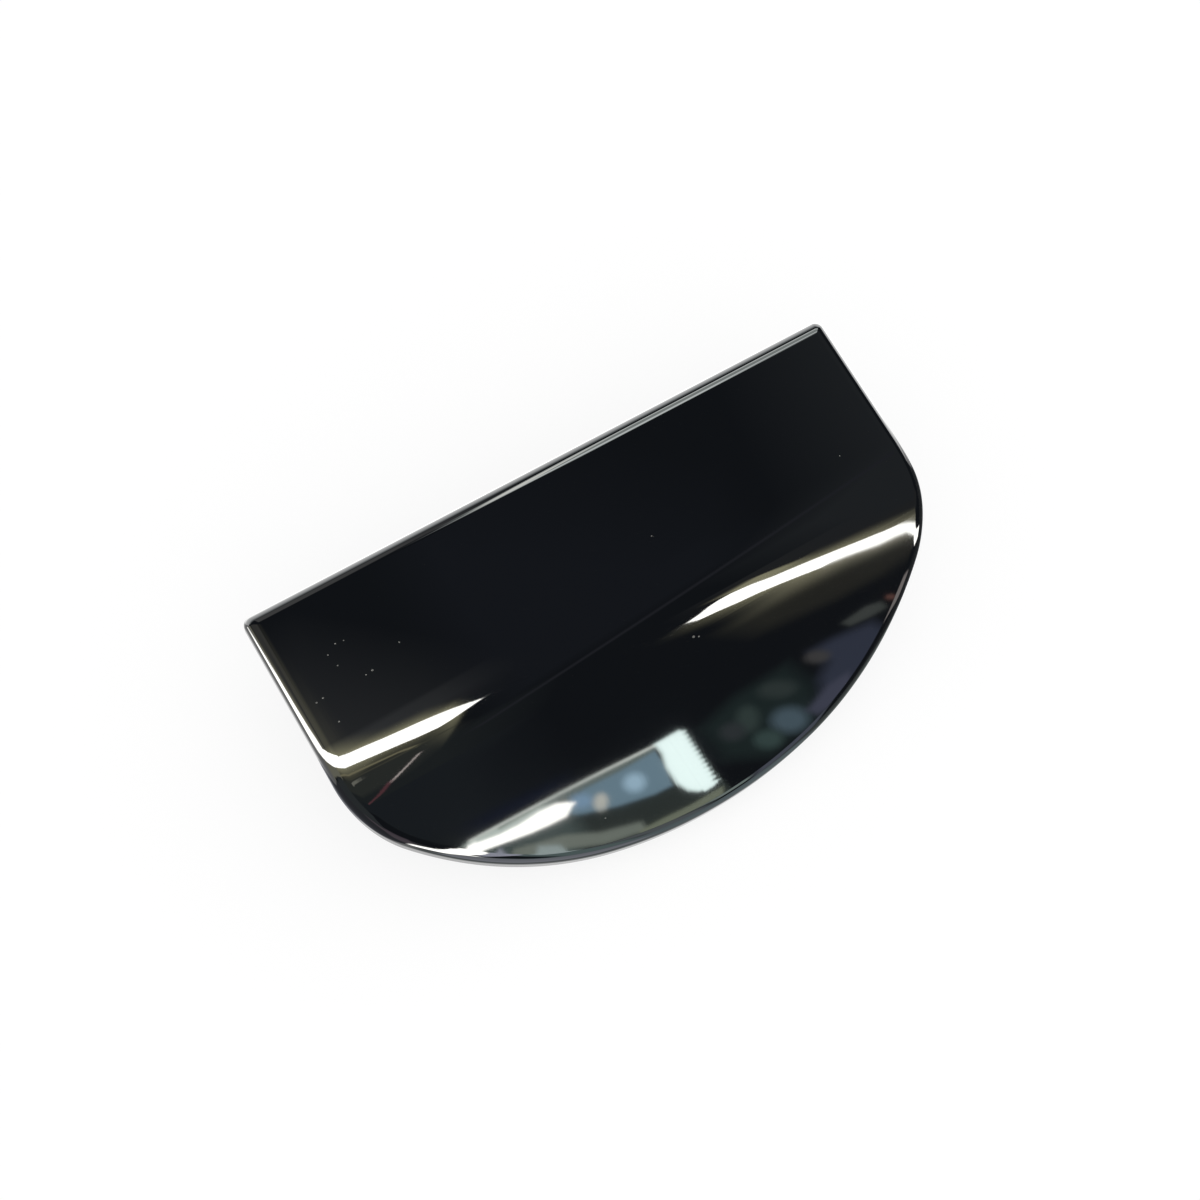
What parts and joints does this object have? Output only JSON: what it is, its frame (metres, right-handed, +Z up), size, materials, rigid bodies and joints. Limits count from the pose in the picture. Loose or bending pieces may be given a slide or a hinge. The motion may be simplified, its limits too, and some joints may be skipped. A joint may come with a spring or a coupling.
{
  "type": "tab pull",
  "caption": "Half-moon tab pull: a level plate that bends down into a rounded finger lip, with two bosses underneath for screws from behind.",
  "frame": {"origin": "midway between the two tapped holes, in the plane of their mouths, which is the plane of the drawer front", "axes": "+Y into the drawer front, square to it; +Z up, so the level plate is on top; X along the drawer front, with the lip towards -Y"},
  "size_m": [0.064, 0.0357, 0.0139],
  "materials": {
    "black_mirror_plating": "polished black mirror plating"
  },
  "bodies": {
    "root": {"tab_pull": "black_mirror_plating"}
  },
  "joints": []
}
